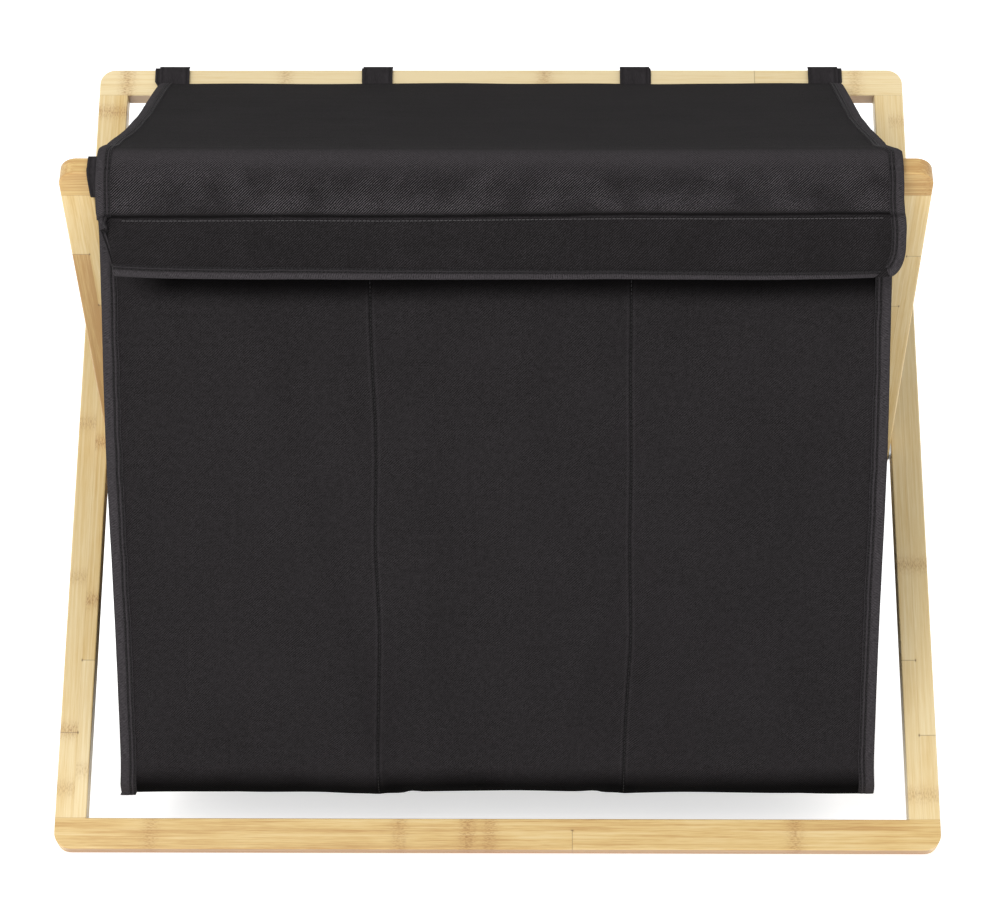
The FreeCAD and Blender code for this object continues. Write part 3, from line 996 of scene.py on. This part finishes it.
COVER, COVER_UV = cover_grid()
COVER_NORMALS = normals_of(COVER)
LID_PART = slice(0, HINGE_ROW + 1)
FLAP_PART = slice(HINGE_ROW, None)


def cover_sheet(name, part, thickness, lift, opened):
    # The cloth is creased along a band just above the seam, a little unevenly; the material paints shade in
    # the crease and a highlight beside it.
    stray = np.array([1.0 * MM * wobble(x, 0, 0, 45.0, 61.0) for x in COVER_UV[0, :, 0]])
    seam = DOWN[:, None] - SEAM_DOWN + 1.5 * MM + stray[None, :]
    return sheet_piece(
        name, COVER[part], COVER_UV[part], thickness, COVER_CLOTH,
        seam=seam[part], lift=lift[part], open=opened[part])


def cover_edges(name, part):
    """The bindings on both sides of the lid or of the flap."""
    made = {}
    for side, column, turn in (("left", 0, -1.0), ("right", -1, 1.0)):
        edge = COVER[:, column]
        outward = COVER_NORMALS[:, column]
        inward = unit(np.cross(np.gradient(edge, axis=0), outward)) * turn
        made[side] = bound_edge(
            "%s_%s_edge" % (name, side), edge[part], inward[part], outward[part], 11.0 + column,
            start=DOWN[part][0])
    return made


def make_cover():
    down = np.repeat(DOWN[:, None], len(COLUMNS), 1)
    # Painted light: the lip, where the cover rounds over the front rail, and faintly the flap down to its
    # seam, are painted lighter, as where light falls on them.
    folded = np.clip((down - (HINGE_DOWN - 29 * MM)) / (12 * MM), 0, 1)
    facing = np.clip((SEAM_DOWN - 2 * MM - down) / (5 * MM), 0, 1)
    lip = np.clip((HINGE_DOWN + 9 * MM - down) / (16 * MM), 0, 1)
    lift = folded * facing * (0.06 + 0.94 * lip)
    opened = folded * (0.16 + 0.84 * facing) * (1 - 0.72 * lip)

    lid = cover_sheet("lid_cloth", LID_PART, COVER_THICKNESS, lift, opened)
    edges = cover_edges("lid", LID_PART)
    for side, made in edges.items():
        hang(made, "lid", "lid_%s_binding" % side)
    hang([lid], "lid", "lid_panel")

    flap = cover_sheet("flap_cloth", FLAP_PART, COVER_THICKNESS, lift, opened)
    edges = cover_edges("flap", FLAP_PART)
    on_it = edges["left"] + edges["right"]
    row = int(np.argmin(np.abs(DOWN - SEAM_DOWN - 2.4 * MM)))
    inner = slice(14, len(COLUMNS) - 4)
    outward = COVER_NORMALS[row, inner]
    path = COVER[row, inner] + outward * 0.75 * MM
    on_it.append(stitch_piece("flap_seam_stitches", path, outward, 4.0, THREAD_PAINTED_HIGHLIGHT))
    hang(on_it, "lid")
    first = int(np.argmin(COVER[-1, :60, 0]))
    hem = slice(first, len(COLUMNS) - 3)
    inward = unit(COVER[-4, hem] - COVER[-1, hem])
    outward = COVER_NORMALS[-1, hem]
    hem_pieces = bound_edge("flap_hem", COVER[-1, hem], inward, outward, 21.0, wide=HEM_TAPE_WIDTH)
    hang(hem_pieces, "lid", "flap_binding")
    hang([flap], "lid", "flap_panel")


make_cover()


# ------ loops

LOOP_WIDTH = 27 * MM
LOOP_TURN = 56                              # rows in one turn round the rail
LOOP_COLUMNS = 12


def loop_piece(name, node, leg, face, frame_name, seed, slack=1.0, drift=0.0, flare=0.0):
    """A strap wrapped one and a half times round a rail, so that two layers show in front.

    drift is how far the inner layer lies to one side, and flare is how far the front
    spreads over the end of the rail.
    """
    rows = LOOP_TURN * 3 // 2
    half_face = FACE / 2 + 0.9 * MM
    half_stock = STOCK / 2 + 0.9 * MM
    origin = PIVOT + leg * RAIL_TOP + RIGHT * middle(node)[0]
    points = np.empty((rows, LOOP_COLUMNS, 3))
    uvs = np.empty((rows, LOOP_COLUMNS, 2))
    for i in range(rows):
        angle = 2 * math.pi * i / LOOP_TURN - math.pi / 2
        c, s = math.cos(angle), math.sin(angle)
        a = math.copysign(abs(c) ** 0.34, c) * half_stock
        b = math.copysign(abs(s) ** 0.34, s) * half_face
        turns = i / LOOP_TURN
        proud = 1.3 * MM * turns + slack * MM * max(0.0, s) ** 2
        front = max(0.0, c) ** 2
        for j in range(LOOP_COLUMNS):
            across = (j / (LOOP_COLUMNS - 1) - 0.5) * LOOP_WIDTH
            bow = 0.5 * MM * wobble(across * 2, turns, 0, 30.0, seed)
            way = unit(face * a / half_stock + leg * b / half_face)
            under = smoothstep((b / half_face + 0.5) / 0.5) * (1 - smoothstep((turns - 0.5) / 0.2))
            over = max(smoothstep((a / half_stock - 0.5) / 0.5), smoothstep((b / half_face - 0.3) / 0.5))
            shift = drift * under + flare * over
            shift += 0.6 * MM * wobble(0, turns, 0, 4.0, seed)
            spot = origin + face * a + leg * b
            points[i, j] = spot + way * (proud + bow * front) + RIGHT * (across + shift)
            uvs[i, j] = (across, turns * 0.09)
    edge = np.abs(uvs[:, :, 0])
    seam = np.abs(edge - (LOOP_WIDTH / 2 - 2.8 * MM))
    piece = sheet_piece(name, points, uvs, 1.0 * MM, LOOP_CLOTH, True, seam=seam)
    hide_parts(node)
    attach(piece, frame_name)


LOOP_DRIFTS = (-4.2, -1.0, 1.0, 3.8)        # of the back loops' inner layers, in mm
LEFT_LOOP_FLARE = -3.3 * MM


def make_loops():
    for number, drift in zip(range(1, 5), LOOP_DRIFTS):
        node = "back_loop_%d" % number
        loop_piece(
            node + "_cloth", node, OUTER_LEG, OUTER_FACE, "outer_frame", number * 3.0, drift=drift * MM)
        node = "front_loop_%d" % number
        flare = LEFT_LOOP_FLARE if number == 1 else 0.0
        loop_piece(
            node + "_cloth", node, INNER_LEG, INNER_FACE, "inner_frame", number * 3.0 + 40, 0.3, flare=flare)


make_loops()


# ------ floor, light and camera

FLOOR_GLOW = 0.62                           # a white table lit softly from below
FLOOR_HALF = 30.0
FLOOR_GAP = 0.3 * MM
KEY_PLACE = (-1.1, -3.2, 2.1)
KEY_TARGET = (0, 0, 0.3)
KEY_SIZE = 1.6
KEY_POWER = 57
CAMERA_PLACE = (0.0250, -2.5100, 0.9977)
CAMERA_LENS = 108.23
CAMERA_TILT = math.radians(90 - 15.94)      # from looking straight down
CAMERA_TURN = 0.0096
CAMERA_ROLL = -0.0016


def floor_material():
    tree = Tree("floor")
    spot = tree.new("TexCoord").outputs["Object"]
    soft = tree.noise(spot, 0.6)
    colour = tree.mix(soft, (0.80, 0.80, 0.80), (0.83, 0.83, 0.83))
    return tree.finish(colour, 0.9, None, Emission_Color=(1, 1, 1, 1), Emission_Strength=FLOOR_GLOW)


def make_floor():
    mesh = bpy.data.meshes.new("floor")
    corners = [(x * FLOOR_HALF, y * FLOOR_HALF, 0) for x, y in ((-1, -1), (1, -1), (1, 1), (-1, 1))]
    mesh.from_pydata(corners, [], [(0, 1, 2, 3)])
    mesh.materials.append(floor_material())
    floor = new_object("floor", mesh)
    floor.location.z = -FLOOR_GAP


def make_light():
    world = bpy.data.worlds.new("studio")
    world.use_nodes = True
    background = world.node_tree.nodes["Background"]
    background.inputs[0].default_value = (1, 1, 1, 1)
    background.inputs[1].default_value = 1.0
    scene.world = world
    light = bpy.data.lights.new("key", "AREA")
    light.shape = "DISK"
    light.size = KEY_SIZE
    light.energy = KEY_POWER
    key = new_object("key", light)
    key.location = KEY_PLACE
    key.rotation_euler = (Vector(KEY_TARGET) - key.location).to_track_quat("-Z", "Y").to_euler()


def make_camera():
    data = bpy.data.cameras.new("camera")
    data.sensor_width = 36.0
    data.lens = CAMERA_LENS
    camera = new_object("camera", data)
    look = (Matrix.Rotation(CAMERA_TURN, 4, "Z") @ Matrix.Rotation(CAMERA_TILT, 4, "X")
            @ Matrix.Rotation(CAMERA_ROLL, 4, "Z"))
    camera.matrix_world = Matrix.Translation(CAMERA_PLACE) @ look
    scene.camera = camera


make_floor()
make_light()
make_camera()
scene.view_settings.view_transform = "Standard"
